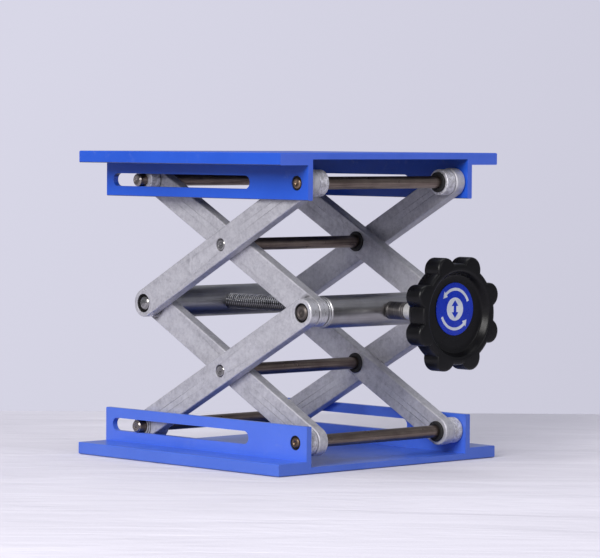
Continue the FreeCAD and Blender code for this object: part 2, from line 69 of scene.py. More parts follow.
# ------------------------------------------------------------------ materials
class Mat:
    """A small node-tree builder."""

    def __init__(self, name):
        self.m = bpy.data.materials.new(name)
        self.m.use_nodes = True
        self.t = self.m.node_tree
        self.t.nodes.clear()
        self.out = self.t.nodes.new("ShaderNodeOutputMaterial")
        self.b = self.t.nodes.new("ShaderNodeBsdfPrincipled")
        self.t.links.new(self.b.outputs["BSDF"], self.out.inputs["Surface"])
        self.coord = self.t.nodes.new("ShaderNodeTexCoord").outputs["Object"]

    def n(self, kind, **vals):
        node = self.t.nodes.new("ShaderNode" + kind)
        for k, v in vals.items():
            if hasattr(node, k):
                setattr(node, k, v)
            else:
                node.inputs[k.replace("_", " ")].default_value = v
        return node

    def link(self, a, b):
        self.t.links.new(a, b)

    def mapped(self, scale=(1, 1, 1), turn=(0, 0, 0), src=None, shift=(0, 0, 0)):
        """Coordinates turned first, then stretched, so that a streak can follow a slanting piece."""
        node = self.n("Mapping")
        node.vector_type = "POINT"
        node.inputs["Rotation"].default_value = turn
        node.inputs["Location"].default_value = shift
        self.link(src or self.coord, node.inputs["Vector"])
        mul = self.n("VectorMath", operation="MULTIPLY")
        mul.inputs[1].default_value = scale
        self.link(node.outputs[0], mul.inputs[0])
        return mul.outputs[0]

    def noise(self, vec, scale, detail=4.0, rough=0.55, distortion=0.0):
        node = self.n("TexNoise", Scale=scale, Detail=detail, Roughness=rough, Distortion=distortion)
        self.link(vec, node.inputs["Vector"])
        return node.outputs["Fac"]

    def voronoi(self, vec, scale, feature="F1", out="Distance", randomness=1.0):
        node = self.n("TexVoronoi", feature=feature, Scale=scale, Randomness=randomness)
        self.link(vec, node.inputs["Vector"])
        return node.outputs[out]

    def ramp(self, fac, *stops, ease="LINEAR"):
        node = self.n("ValToRGB")
        node.color_ramp.interpolation = ease
        els = node.color_ramp.elements
        while len(els) < len(stops):
            els.new(0.5)
        for e, (p, c) in zip(els, stops):
            e.position = p
            e.color = c if isinstance(c, tuple) else (c, c, c, 1)
        self.link(fac, node.inputs["Fac"])
        return node.outputs["Color"]

    def mix(self, fac, a, b, blend="MIX"):
        node = self.n("Mix", data_type="RGBA", blend_type=blend)
        for value, sock in ((fac, node.inputs[0]), (a, node.inputs[6]), (b, node.inputs[7])):
            if isinstance(value, (int, float)):
                sock.default_value = value
            elif isinstance(value, tuple):
                sock.default_value = value
            else:
                self.link(value, sock)
        return node.outputs[2]

    def math(self, op, a, b=0.5, c=None, clamp=False):
        node = self.n("Math", operation=op, use_clamp=clamp)
        for i, value in enumerate((a, b, c)):
            if value is None:
                continue
            if isinstance(value, (int, float)):
                node.inputs[i].default_value = value
            else:
                self.link(value, node.inputs[i])
        return node.outputs[0]

    def edges(self, low=0.52, high=0.62):
        """Where an edge stands proud: 0 on flats, 1 on proud edges. Used for worn paint and for painted edge
        highlights.
        """
        geo = self.n("NewGeometry")
        return self.ramp(geo.outputs["Pointiness"], (low, 0.0), (high, 1.0))

    def downward(self, low, high):
        """0 where a face looks up or sideways, 1 where it looks down: the mask for painted shade on faces that look
        down and, inverted, for painted highlights on faces that look up.
        """
        geo = self.n("NewGeometry")
        up = self.n("SeparateXYZ")
        self.link(geo.outputs["Normal"], up.inputs[0])
        node = self.n("MapRange", clamp=True)
        self.link(self.math("MULTIPLY", up.outputs[2], -1.0), node.inputs["Value"])
        node.inputs["From Min"].default_value = low
        node.inputs["From Max"].default_value = high
        return node.outputs["Result"]

    def bump(self, height, strength, distance, normal=None):
        node = self.n("Bump", Strength=strength, Distance=distance)
        self.link(height, node.inputs["Height"])
        if normal is not None:
            self.link(normal, node.inputs["Normal"])
        return node.outputs[0]

    def base(self, colour=None, rough=None, normal=None, **fixed):
        if colour is not None:
            if isinstance(colour, tuple):
                self.b.inputs["Base Color"].default_value = colour
            else:
                self.link(colour, self.b.inputs["Base Color"])
        if rough is not None:
            if isinstance(rough, (int, float)):
                self.b.inputs["Roughness"].default_value = rough
            else:
                self.link(rough, self.b.inputs["Roughness"])
        if normal is not None:
            self.link(normal, self.b.inputs["Normal"])
        for k, v in fixed.items():
            slot = self.b.inputs[k.replace("_", " ")]
            if isinstance(v, bpy.types.NodeSocket):
                self.link(v, slot)
            else:
                slot.default_value = v
        return self.m


def blue_paint(name, low, high, shade_below, coat, spec):
    """Smooth blue paint with faint dust, hairlines and worn corners. With shade_below, faces that look down get painted
    shade and end faces that look along X get painted light.
    """
    m = Mat(name)
    c = m.coord
    cloud = m.noise(c, 22, 5, 0.6)
    col = m.ramp(cloud, (0.3, srgb(*low)), (0.7, srgb(*high)))
    specks = m.ramp(m.voronoi(c, 620), (0.0, 1.0), (0.05, 1.0), (0.09, 0.0))
    gate = m.ramp(m.noise(c, 90, 3), (0.56, 0.0), (0.66, 1.0))
    col = m.mix(m.math("MULTIPLY", m.math("MULTIPLY", specks, gate), 0.30), col, srgb(120, 150, 225))
    worn = m.math("MULTIPLY", m.edges(0.53, 0.60), m.ramp(m.noise(c, 150, 4, 0.7), (0.58, 0.0), (0.68, 1.0)))
    col = m.mix(m.math("MULTIPLY", worn, 0.18), col, srgb(120, 142, 210))
    hair = m.ramp(m.noise(m.mapped((14, 260, 260)), 3.0, 3, 0.5, 1.2), (0.494, 0.0), (0.5, 1.0), (0.506, 0.0))
    hair = m.math("MULTIPLY", hair, m.ramp(m.noise(c, 9, 2), (0.5, 0.0), (0.62, 1.0)))
    col = m.mix(m.math("MULTIPLY", hair, 0.14), col, srgb(110, 140, 225))
    if shade_below:
        # painted light: end faces that look along X are lightened towards a pale blue, standing in for light falling on
        # them
        geo = m.n("NewGeometry")
        ends = m.n("SeparateXYZ")
        m.link(geo.outputs["Normal"], ends.inputs[0])
        cut = m.ramp(m.math("ABSOLUTE", ends.outputs[0]), (0.80, 0.0), (0.95, 1.0))
        end_face_light = m.ramp(m.noise(c, 60, 4, 0.6), (0.3, 0.42), (0.7, 0.62))
        col = m.mix(m.math("MULTIPLY", cut, end_face_light), col, srgb(96, 128, 244))
        # painted shade: faces that look down are darkened towards dark navy
        col = m.mix(m.math("MULTIPLY", m.downward(0.3, 0.8), shade_below), col, m.ramp(cloud, (0.3, srgb(5, 6, 24)), (0.7, srgb(9, 11, 34))))
    rough = m.ramp(m.noise(c, 35, 4, 0.6), (0.3, 0.30), (0.75, 0.42))
    n = m.bump(m.noise(c, 520, 2, 0.5), 0.10, 0.0004)
    n = m.bump(m.noise(c, 900, 3, 0.6), 0.05, 0.0001, n)
    return m.base(col, rough, n, Coat_Weight=coat, Coat_Roughness=0.16, Specular_IOR_Level=spec)


def aluminium(name, turn, dark=1.0, streak=1.0, cast=0.0, marks=False):
    """Raw light alloy: fine grain and specks, faint lines along the bar, stains and nicks."""
    m = Mat(name)
    c = m.coord
    lines = m.noise(m.mapped((45, 1000, 1000), (0, turn, 0)), 1.0, 4, 0.6)
    grain = m.noise(c, 620, 4, 0.7)
    mott = m.noise(c, 210, 5, 0.7, 0.3)
    cloud = m.noise(c, 42, 4, 0.6)
    both = m.math("MULTIPLY_ADD", grain, 0.5, m.math("MULTIPLY", mott, 0.5))
    base = m.ramp(both, (0.36, srgb(173 * dark, 172 * dark, 180 * dark)), (0.50, srgb(195 * dark, 194 * dark, 201 * dark)),
                  (0.64, srgb(210 * dark, 209 * dark, 215 * dark)))
    col = m.mix(0.035 * streak, base, m.ramp(lines, (0.30, 0.6), (0.70, 1.0)), "MULTIPLY")
    col = m.mix(0.22, col, m.ramp(cloud, (0.34, 0.55), (0.66, 1.0)), "MULTIPLY")
    stain = m.math("MULTIPLY", m.ramp(m.noise(c, 95, 6, 0.75, 0.8), (0.58, 0.0), (0.68, 1.0)), m.ramp(cloud, (0.42, 0.0), (0.62, 1.0)))
    col = m.mix(m.math("MULTIPLY", stain, 0.42), col, srgb(92, 90, 97))
    pits = m.ramp(m.voronoi(c, 760), (0.0, 1.0), (0.08, 1.0), (0.14, 0.0))
    pits = m.math("MULTIPLY", pits, m.ramp(m.noise(c, 120, 3), (0.50, 0.0), (0.60, 1.0)))
    col = m.mix(m.math("MULTIPLY", pits, 0.55), col, srgb(66, 64, 70))
    if cast:
        rough_skin = m.ramp(m.noise(c, 480, 6, 0.8, 0.6), (0.44, 1.0), (0.53, 0.0))
        col = m.mix(m.math("MULTIPLY", rough_skin, cast), col, srgb(112, 108, 108))
    # painted highlight: proud edges are lightened towards near white, as if catching the light
    col = m.mix(m.math("MULTIPLY", m.edges(0.52, 0.58), 0.60), col, srgb(228, 228, 234))
    turned_face = None
    if marks:
        part = m.n("SeparateXYZ")
        m.link(c, part.inputs[0])
        layer = m.math("ABSOLUTE", part.outputs[1])

        def near_axis(node):
            x0, _, z0 = middle(node)
            dx = m.math("SUBTRACT", part.outputs[0], x0)
            dz = m.math("SUBTRACT", part.outputs[2], z0)
            return m.math("SQRT", m.math("ADD", m.math("MULTIPLY", dx, dx), m.math("MULTIPLY", dz, dz)))

        # painted shade: dark lines along the narrow gaps between the arm layers beside the mid bars, where shade falls
        bar_gap_shade_zone = None
        for node in ("nut_bar", "thrust_bar"):
            d = m.ramp(m.math("MULTIPLY", near_axis(node), 50.0), (0.40, 1.0), (0.50, 0.0))
            bar_gap_shade_zone = d if bar_gap_shade_zone is None else m.math("MAXIMUM", bar_gap_shade_zone, d)
        for face in (47.15, 40.95):
            gap = m.math("ABSOLUTE", m.math("SUBTRACT", layer, face * MM))
            gap_shade_line = m.ramp(m.math("MULTIPLY", gap, 1000.0), (0.30, 1.0), (0.75, 0.0))
            ragged = m.ramp(m.noise(c, 380, 4, 0.7), (0.38, 0.45), (0.58, 1.0))
            col = m.mix(m.math("MULTIPLY", m.math("MULTIPLY", gap_shade_line, bar_gap_shade_zone), m.math("MULTIPLY", ragged, 0.85)), col, srgb(46, 43, 46))
        turned_end_highlight = None
        for node in ("nut_bar", "thrust_bar"):
            r = m.math("MULTIPLY", near_axis(node), 100.0)
            d = m.math("MULTIPLY", m.ramp(r, (0.60, 0.0), (0.66, 1.0)), m.ramp(r, (0.74, 1.0), (0.80, 0.0)))
            turned_end_highlight = d if turned_end_highlight is None else m.math("MAXIMUM", turned_end_highlight, d)
        # painted highlight: a ring about 6 to 8 mm round each mid-bar axis, over the arm ends, is lightened towards
        # near white; the same ring is also made smoother
        col = m.mix(m.math("MULTIPLY", turned_end_highlight, 0.30), col, srgb(232, 231, 235))
        # rings rubbed into the face round the sliding pins
        for node in ("base_slide_rod", "top_slide_rod"):
            r = near_axis(node)
            wave = m.math("SINE", m.math("MULTIPLY", r, 2 * math.pi / (1.45 * MM)))
            ring = m.math("MULTIPLY_ADD", wave, 0.5, 0.5)
            inside = m.ramp(m.math("MULTIPLY", r, 100.0), (0.68, 1.0), (0.74, 0.0))
            inside = m.math("MULTIPLY", inside, m.ramp(m.math("MULTIPLY", r, 100.0), (0.30, 0.0), (0.33, 1.0)))
            mark = m.math("MULTIPLY", inside, ring)
            col = m.mix(m.math("MULTIPLY", inside, 0.5), col, srgb(206, 206, 212))
            col = m.mix(m.math("MULTIPLY", mark, 0.9), col, srgb(58, 54, 56))
            turned_face = mark if turned_face is None else m.math("MAXIMUM", turned_face, mark)
    rough = m.ramp(m.noise(c, 260, 4, 0.6), (0.3, 0.44), (0.7, 0.66))
    if marks:
        rough = m.math("MULTIPLY", rough, m.math("MULTIPLY_ADD", turned_end_highlight, -0.45, 1.0))
    n = m.bump(lines, 0.012, 0.0001)
    n = m.bump(both, 0.16 + 0.5 * cast, 0.00022, n)
    n = m.bump(pits, -0.35, 0.0001, n)
    if turned_face is not None:
        n = m.bump(turned_face, -0.6, 0.00012, n)
    return m.base(col, rough, n, Metallic=0.50, Specular_IOR_Level=0.5)


def steel(name, dark, light, along="Y", rough=(0.28, 0.46), metallic=0.95, stain=None, ring=False, relief=0.12, underside_shade=0.0):
    """Bright drawn or turned steel. Streaks run along the bar, or round it when ring is set."""
    m = Mat(name)
    c = m.coord
    far, near = (1500, 22) if not ring else (18, 1800)
    scale = {"X": (near, far, far), "Y": (far, near, far), "Z": (far, far, near)}[along]
    lines = m.noise(m.mapped(scale), 1.0, 4, 0.65)
    cloud = m.noise(c, 70, 5, 0.65, 0.5)
    col = m.ramp(lines, (0.30, dark), (0.70, light))
    col = m.mix(m.ramp(cloud, (0.40, 0.0), (0.72, 0.55)), col, stain or dark)
    pits = m.math("MULTIPLY", m.ramp(m.voronoi(c, 600), (0.0, 1.0), (0.06, 1.0), (0.12, 0.0)),
                  m.ramp(m.noise(c, 110, 2), (0.52, 0.0), (0.62, 1.0)))
    col = m.mix(m.math("MULTIPLY", pits, 0.6), col, srgb(34, 28, 26))
    col = m.mix(m.math("MULTIPLY", m.edges(0.53, 0.60), 0.5), col, light)
    if underside_shade:
        # painted shade: faces that look down are darkened towards near black
        col = m.mix(m.math("MULTIPLY", m.downward(0.05, 0.65), underside_shade), col, srgb(26, 24, 27))
    r = m.ramp(m.noise(c, 160, 4, 0.6), (0.3, rough[0]), (0.72, rough[1]))
    n = m.bump(lines, relief, 0.00008)
    n = m.bump(pits, -0.3, 0.00008, n)
    return m.base(col, r, n, Metallic=metallic)


def thread_steel(name):
    """Threaded steel: crests lighter than the roots, partly rubbed metal and oil, partly painted highlight and painted
    shade. The upper flanks get painted highlights and the lower half painted shade.
    """
    m = Mat(name)
    c = m.coord
    part = m.n("SeparateXYZ")
    m.link(c, part.inputs[0])
    y = part.outputs[1]
    z = m.math("SUBTRACT", part.outputs[2], AXIS_Z)
    r = m.math("SQRT", m.math("ADD", m.math("MULTIPLY", y, y), m.math("MULTIPLY", z, z)))
    high = m.n("MapRange", clamp=True)
    m.link(r, high.inputs["Value"])
    high.inputs["From Min"].default_value = 3.35 * MM
    high.inputs["From Max"].default_value = 3.9 * MM
    lines = m.noise(m.mapped((400, 1500, 1500)), 1.0, 3, 0.6)
    crest = m.ramp(lines, (0.3, srgb(176, 176, 179)), (0.7, srgb(232, 232, 235)))
    root = m.ramp(m.noise(c, 300, 4, 0.6), (0.3, srgb(30, 28, 28)), (0.7, srgb(62, 58, 56)))
    # crests lighter and roots darker: partly wear and oil, partly painted highlight on crests and painted shade in
    # roots
    col = m.mix(high.outputs["Result"], root, crest)
    wear = m.ramp(m.noise(c, 150, 4, 0.65), (0.46, 0.0), (0.66, 1.0))
    col = m.mix(m.math("MULTIPLY", wear, 0.35), col, srgb(84, 82, 82))
    # painted highlight: short near-white dashes on the upper flanks of the crests; painted shade: the lower half is
    # darkened
    flank_highlight = m.math("SUBTRACT", 1.0, m.downward(-0.62, -0.12))
    dash = m.ramp(m.noise(m.mapped((620, 240, 240)), 1.0, 3, 0.6, 0.4), (0.40, 0.35), (0.56, 1.0))
    flank_highlight = m.math("MULTIPLY", m.math("MULTIPLY", flank_highlight, dash), high.outputs["Result"])
    col = m.mix(m.math("MULTIPLY", m.downward(-0.30, 0.30), 0.9), col, srgb(30, 28, 30))
    col = m.mix(m.math("MULTIPLY", flank_highlight, 0.9), col, srgb(250, 250, 252))
    metal = m.math("MULTIPLY_ADD", flank_highlight, -0.62, 0.95)
    rough = m.ramp(m.noise(c, 240, 3), (0.3, 0.15), (0.7, 0.26))
    return m.base(col, rough, m.bump(lines, 0.05, 0.00005), Metallic=metal)


def black_plastic():
    m = Mat("black_plastic_v")
    c = m.coord
    grain = m.noise(c, 1500, 2, 0.6)
    cloud = m.noise(c, 60, 4, 0.6)
    col = m.ramp(cloud, (0.3, srgb(5, 5, 7)), (0.75, srgb(10, 9, 11)))
    dust = m.math("MULTIPLY", m.ramp(m.voronoi(c, 330), (0.0, 1.0), (0.05, 1.0), (0.09, 0.0)),
                  m.ramp(m.noise(c, 90, 2), (0.56, 0.0), (0.66, 1.0)))
    col = m.mix(m.math("MULTIPLY", dust, 0.16), col, srgb(105, 103, 108))
    col = m.mix(m.math("MULTIPLY", m.edges(0.51, 0.56), 0.12), col, srgb(70, 70, 76))
    rough = m.ramp(m.noise(c, 130, 4, 0.6), (0.3, 0.25), (0.7, 0.36))
    n = m.bump(grain, 0.10, 0.00005)
    n = m.bump(m.noise(c, 240, 3), 0.06, 0.0002, n)
    return m.base(col, rough, n, Specular_IOR_Level=0.2)


def rubber(name, low, high):
    m = Mat(name)
    c = m.coord
    grain = m.noise(c, 1300, 3, 0.6)
    col = m.ramp(m.noise(c, 150, 4), (0.3, low), (0.7, high))
    rough = m.ramp(grain, (0.3, 0.55), (0.7, 0.75))
    return m.base(col, rough, m.bump(grain, 0.25, 0.0001), Specular_IOR_Level=0.4)


def print_film(name, a, b):
    m = Mat(name)
    c = m.coord
    col = m.ramp(m.noise(c, 190, 4, 0.6), (0.3, a), (0.7, b))
    scuff = m.ramp(m.noise(m.mapped((400, 60, 400)), 3, 3, 0.5, 1.0), (0.495, 0.0), (0.5, 1.0), (0.505, 0.0))
    scuff = m.math("MULTIPLY", scuff, m.ramp(m.noise(c, 120, 2), (0.5, 0.0), (0.6, 1.0)))
    col = m.mix(m.math("MULTIPLY", scuff, 0.25), col, srgb(190, 200, 225))
    rough = m.ramp(m.noise(c, 260, 3), (0.3, 0.24), (0.7, 0.36))
    return m.base(col, rough, m.bump(m.noise(c, 700, 2), 0.06, 0.0001), Specular_IOR_Level=0.3)


FOLD = None
AXIS_Z = middle("lead_screw")[2]
lo_a, hi_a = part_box("lower_outer_arm_near")
FOLD = math.atan2((hi_a[2] - lo_a[2]) - 14 * MM, (hi_a[0] - lo_a[0]) - 14 * MM)

MATS = {
    # painted light: the base plate gets a lighter copy of the blue paint and the top plate a darker one, standing in
    # for more light reaching the base
    "blue_top_shaded": blue_paint("blue_paint_top_shaded_v", (27, 82, 200), (37, 92, 213), 0.9, 0.12, 0.42),
    "blue_base_lit": blue_paint("blue_paint_base_lit_v", (64, 104, 212), (74, 114, 223), 0.0, 0.45, 0.5),
    "arm_rising": aluminium("aluminium_rising_v", FOLD, marks=True),
    "arm_falling": aluminium("aluminium_falling_v", -FOLD, marks=True),
    "spacer_metal": aluminium("spacer_alloy_v", 0.0, 1.14, 0.4, 0.5),
    "bright_steel": steel("bright_steel_v", srgb(176, 176, 179), srgb(226, 226, 229), "Y", (0.26, 0.40), ring=True),
    "black_rubber": rubber("black_rubber_v", srgb(16, 15, 16), srgb(32, 31, 33)),
    "nut_bar_steel": steel("nut_bar_steel_v", srgb(164, 164, 167), srgb(188, 188, 191), "Y", (0.32, 0.42), stain=srgb(142, 142, 146), relief=0.03, underside_shade=0.85),
    "thrust_bar_steel": steel("thrust_bar_steel_v", srgb(158, 157, 159), srgb(186, 185, 187), "Y", (0.28, 0.38), stain=srgb(138, 135, 136), relief=0.03, underside_shade=0.3),
    # painted shade: a near-black material for the sunken rings of riveted rod ends and the recesses at the bar ends,
    # where shade falls
    "recess_shade": rubber("recess_shade_v", srgb(16, 15, 17), srgb(30, 28, 30)),
    "rod_steel": steel("rod_steel_v", srgb(92, 80, 74), srgb(148, 134, 124), "Y", (0.26, 0.42), stain=srgb(82, 70, 64)),
    "rod_end": steel("rod_end_v", srgb(96, 78, 64), srgb(158, 134, 112), "Y", (0.28, 0.46), ring=True, stain=srgb(62, 50, 42)),
    "bar_end": steel("bar_end_v", srgb(118, 117, 117), srgb(184, 183, 183), "Y", (0.12, 0.26), ring=True, stain=srgb(92, 88, 86)),
    "rough_end": steel("rough_end_v", srgb(74, 68, 66), srgb(128, 120, 116), "Y", (0.34, 0.52), ring=True, stain=srgb(50, 44, 42)),
    "slide_end": steel("slide_end_v", srgb(104, 98, 96), srgb(176, 168, 164), "Y", (0.22, 0.38), ring=True, stain=srgb(78, 72, 70)),
    "screw_steel": steel("screw_steel_v", srgb(96, 96, 98), srgb(160, 160, 162), "X", (0.16, 0.28), ring=True, stain=srgb(72, 70, 70)),
    "collar_steel": steel("collar_steel_v", srgb(92, 90, 90), srgb(142, 139, 138), "X", (0.34, 0.50), ring=True, stain=srgb(74, 71, 70)),
    "bush_steel": steel("bush_steel_v", srgb(186, 185, 184), srgb(226, 225, 224), "X", (0.36, 0.52), ring=True, metallic=0.45),
    "thread_steel": thread_steel("thread_steel_v"),
    "black_plastic": black_plastic(),
    "label_blue": print_film("label_blue_v", srgb(8, 46, 182), srgb(14, 56, 198)),
    "label_white": print_film("label_white_v", srgb(206, 212, 226), srgb(228, 232, 242)),
}


# ------------------------------------------------------------------ mesh helpers
def obj_from(name, verts, faces, mats, body, stands_for=(), angle=38, tags=None):
    me = bpy.data.meshes.new(name)
    me.from_pydata([tuple(v) for v in verts], [], faces)
    me.update()
    bm = bmesh.new()
    bm.from_mesh(me)
    if tags is not None:
        for f, t in zip(bm.faces, tags):
            f.material_index = t
    bmesh.ops.remove_doubles(bm, verts=bm.verts, dist=1e-7)
    bmesh.ops.recalc_face_normals(bm, faces=bm.faces)
    bm.to_mesh(me)
    bm.free()
    for f in me.polygons:
        f.use_smooth = True
    me.set_sharp_from_angle(angle=math.radians(angle))
    for mat in mats:
        me.materials.append(mat)
    ob = bpy.data.objects.new(name, me)
    scene.collection.objects.link(ob)
    if body:
        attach(ob, body)
    if stands_for:
        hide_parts(*stands_for)
    return ob


def soften(points, closed=False, seg=4):
    """Rounds the corners of a 2D outline. points are (t, r, corner radius)."""
    out = []
    n = len(points)
    for i, p in enumerate(points):
        rad = p[2] if len(p) > 2 else 0.0
        a = points[i - 1] if (i > 0 or closed) else None
        b = points[(i + 1) % n] if (i < n - 1 or closed) else None
        if rad <= 0 or a is None or b is None:
            out.append((p[0], p[1]))
            continue
        u = Vector((a[0] - p[0], a[1] - p[1]))
        v = Vector((b[0] - p[0], b[1] - p[1]))
        lu, lv = u.length, v.length
        u.normalize()
        v.normalize()
        half = math.acos(max(-1, min(1, u.dot(v)))) / 2
        if half < 0.02 or half > math.pi / 2 - 0.02:
            out.append((p[0], p[1]))
            continue
        cut = min(rad / math.tan(half), lu * 0.49, lv * 0.49)
        rr = cut * math.tan(half)
        centre = Vector((p[0], p[1])) + (u + v).normalized() * (rr / math.sin(half))
        s = Vector((p[0], p[1])) + u * cut - centre
        e = Vector((p[0], p[1])) + v * cut - centre
        sweep = s.angle_signed(e)
        for k in range(seg + 1):
            w = s.copy()
            w.rotate(Matrix.Rotation(-sweep * k / seg, 2))
            out.append((centre.x + w.x, centre.y + w.y))
    return out


def lathe(profile, centre, axis="Y", n=96, closed=False, tag=None):
    """Turns a profile of (t, r) in mm about the axis. Returns verts, faces and a material index per face."""
    verts, rows = [], []
    for t, r in profile:
        if r < 1e-6:
            rows.append([len(verts)])
            ring = [(t, 0.0, 0.0)]
        else:
            rows.append(list(range(len(verts), len(verts) + n)))
            ring = [(t, r * math.cos(TAU * k / n), r * math.sin(TAU * k / n)) for k in range(n)]
        for t0, a, b in ring:
            if axis == "Y":
                v = Vector((a, t0, b))
            elif axis == "X":
                v = Vector((t0, a, b))
            else:
                v = Vector((a, b, t0))
            verts.append(v * MM + centre)
    faces, tags = [], []
    count = len(rows)
    for i in range(count if closed else count - 1):
        p, q = rows[i], rows[(i + 1) % count]
        t = tag(profile[i], profile[(i + 1) % count]) if tag else 0
        for k in range(n):
            k2 = (k + 1) % n
            if len(p) == 1 and len(q) == 1:
                continue
            if len(p) == 1:
                faces.append((p[0], q[k], q[k2]))
            elif len(q) == 1:
                faces.append((p[k], q[0], p[k2]))
            else:
                faces.append((p[k], q[k], q[k2], p[k2]))
            tags.append(t)
    return verts, faces, tags


def join(*parts):
    verts, faces, tags = [], [], []
    for v, f, t in parts:
        base = len(verts)
        verts += v
        faces += [tuple(i + base for i in g) for g in f]
        tags += t
    return verts, faces, tags


def turned(name, node, profile, mats, axis="Y", n=96, closed=False, tag=None, centre=None, angle=38):
    v, f, t = lathe(profile, centre if centre is not None else middle(node), axis, n, closed, tag)
    return obj_from(name, v, f, mats, BODY[node], (node,), angle, t)


# ------------------------------------------------------------------ plates and arms keep their CAD shape
def dress(node, mat, width=0.35, seg=3):
    o = NODES[node]
    for s in o.material_slots:
        s.link = "OBJECT"
        s.material = mat
    weld = o.modifiers.new("weld", "WELD")
    weld.merge_threshold = 1e-6
    if width:
        bev = o.modifiers.new("bevel", "BEVEL")
        bev.width = width * MM
        bev.segments = seg
        bev.limit_method = "ANGLE"
        bev.angle_limit = math.radians(40)
        bev.harden_normals = False
        bev.use_clamp_overlap = True
        wn = o.modifiers.new("normals", "WEIGHTED_NORMAL")
        wn.keep_sharp = False
        wn.weight = 60


dress("base_plate", MATS["blue_base_lit"], 0.35)
dress("top_plate", MATS["blue_top_shaded"], 0.35)
for side in ("near", "far"):
    for level in ("lower", "upper"):
        dress("%s_outer_arm_%s" % (level, side), MATS["arm_rising"], 0.18, 2)
        dress("%s_inner_arm_%s" % (level, side), MATS["arm_falling"], 0.18, 2)


# ------------------------------------------------------------------ rods
def end_tag(limit):
    return lambda a, b: 1 if min(abs(a[0]), abs(b[0])) > limit else 0


def rod(node, staked):
    lo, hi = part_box(node)
    half = (hi[1] - lo[1]) / 2 / MM
    r = 3.1
    if staked:
        # a riveted end: a low dome with a dimple, set in a sunken ring
        side = [(half - 0.7, 0, 0), (half - 0.4, 0.7, 0.2), (half - 0.05, 1.25, 0.25), (half, 1.9, 0.4), (half - 0.3, 2.5, 0.3),
                (half - 0.9, 2.8, 0.15), (half - 1.0, 2.95, 0.05), (half - 0.5, 3.15, 0.1), (half - 0.45, 3.35, 0.1), (half - 0.7, 3.5, 0.1),
                (half - 2.1, 3.5, 0.1), (half - 2.3, r, 0.1)]
    else:
        side = [(half - 0.55, 0, 0), (half - 0.1, 0.8, 0.2), (half - 0.12, 1.5, 0.2), (half, 1.7, 0.1), (half, r - 0.6, 0.3), (half - 0.6, r, 0.3)]
    right = soften(side)
    left = [(-t, rr) for t, rr in right]
    profile = left + [(-20.0, r), (20.0, r)] + right[::-1]
    ends = "rod_end" if staked else ("bar_end" if "cross" in node else "slide_end")
    end = end_tag(half - 0.72 if not staked else half - 1.3)
    # faces of the sunken ring take the painted-shade material
    tag = (lambda a, b: 2 if min(abs(a[0]), abs(b[0])) > half - 2.35 and max(a[1], b[1]) > 2.82 else end(a, b)) if staked else end
    turned(node + "_v", node, profile, [MATS["rod_steel"], MATS[ends], MATS["recess_shade"]], tag=tag)


for n_ in ("base_pivot_rod", "top_pivot_rod"):
    rod(n_, True)
for n_ in ("base_slide_rod", "top_slide_rod", "lower_cross_rod", "upper_cross_rod"):
    rod(n_, False)


# ------------------------------------------------------------------ spacers and washers
def ring_profile(t0, t1, r_in, r_out, c, seg=3):
    return soften([(t0, r_in, c * 0.6), (t0, r_out, c), (t1, r_out, c), (t1, r_in, c * 0.6)], True, seg)


for pin in ("base_pivot", "base_slide", "top_pivot", "top_slide"):
    for side in ("near", "far"):
        node = "%s_spacer_%s" % (pin, side)
        lo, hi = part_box(node)
        h = (hi[1] - lo[1]) / 2 / MM
        prof = [(-h, 3.17, 0.25), (-h, 6.5, 0.45)]
        for g in (-1.9, -0.95, 0.0, 0.95, 1.9):
            prof += [(g - 0.22, 6.5, 0.05), (g, 6.32, 0.08), (g + 0.22, 6.5, 0.05)]
        prof += [(h, 6.5, 0.45), (h, 3.17, 0.25)]
        turned(node + "_v", node, soften(prof, True, 3), [MATS["spacer_metal"]], closed=True, angle=60)


def pair(node, r_in, r_out, thick, c, mat, outer, seg=3):
    mid = middle(node)
    parts = []
    for s in (-1, 1):
        face = s * outer
        t0, t1 = sorted((face, face - s * thick))
        parts.append(lathe(ring_profile(t0, t1, r_in, r_out, c, seg), mid, "Y", 96, True))
    v, f, t = join(*parts)
    obj_from(node + "_v", v, f, [mat], BODY[node], (node,), 38, t)


for pin in ("base_pivot", "lower_cross", "upper_cross", "top_pivot"):
    pair(pin + "_washers", 3.17, 5.15, 1.2, 0.5, MATS["black_rubber"], 40.9, 5)
for bar in ("nut_bar", "thrust_bar"):
    pair(bar + "_washers", 4.71, 7.5, 1.0, 0.2, MATS["bright_steel"], 40.9)


# ------------------------------------------------------------------ mid bars
def cut_with(ob, cutters):
    for c in cutters:
        mod = ob.modifiers.new("cut", "BOOLEAN")
        mod.operation = "DIFFERENCE"
        mod.solver = "EXACT"
        mod.object = c
    bpy.context.view_layer.update()
    dg = bpy.context.evaluated_depsgraph_get()
    done = bpy.data.meshes.new_from_object(ob.evaluated_get(dg), depsgraph=dg)
    ob.modifiers.clear()
    old = ob.data
    ob.data = done
    bpy.data.meshes.remove(old)
    for c in cutters:
        bpy.data.objects.remove(c)
    # the cuts leave hair-thin slivers: weld them and close what they held open
    bm = bmesh.new()
    bm.from_mesh(done)
    bmesh.ops.remove_doubles(bm, verts=bm.verts[:], dist=4e-6)
    bmesh.ops.dissolve_degenerate(bm, dist=2e-6, edges=bm.edges[:])
    loose = [e for e in bm.edges if not e.link_faces]
    bmesh.ops.delete(bm, geom=loose, context="EDGES")
    bmesh.ops.holes_fill(bm, edges=[e for e in bm.edges if e.is_boundary], sides=12)
    bmesh.ops.triangulate(bm, faces=[f for f in bm.faces if len(f.verts) > 4])
    bmesh.ops.remove_doubles(bm, verts=bm.verts[:], dist=1e-6)
    bm.to_mesh(done)
    bm.free()
    done.set_sharp_from_angle(angle=math.radians(38))


def cutter(profile, centre, axis, n=72):
    v, f, t = lathe(profile, centre, axis, n)
    return obj_from("cutter", v, f, [], None)


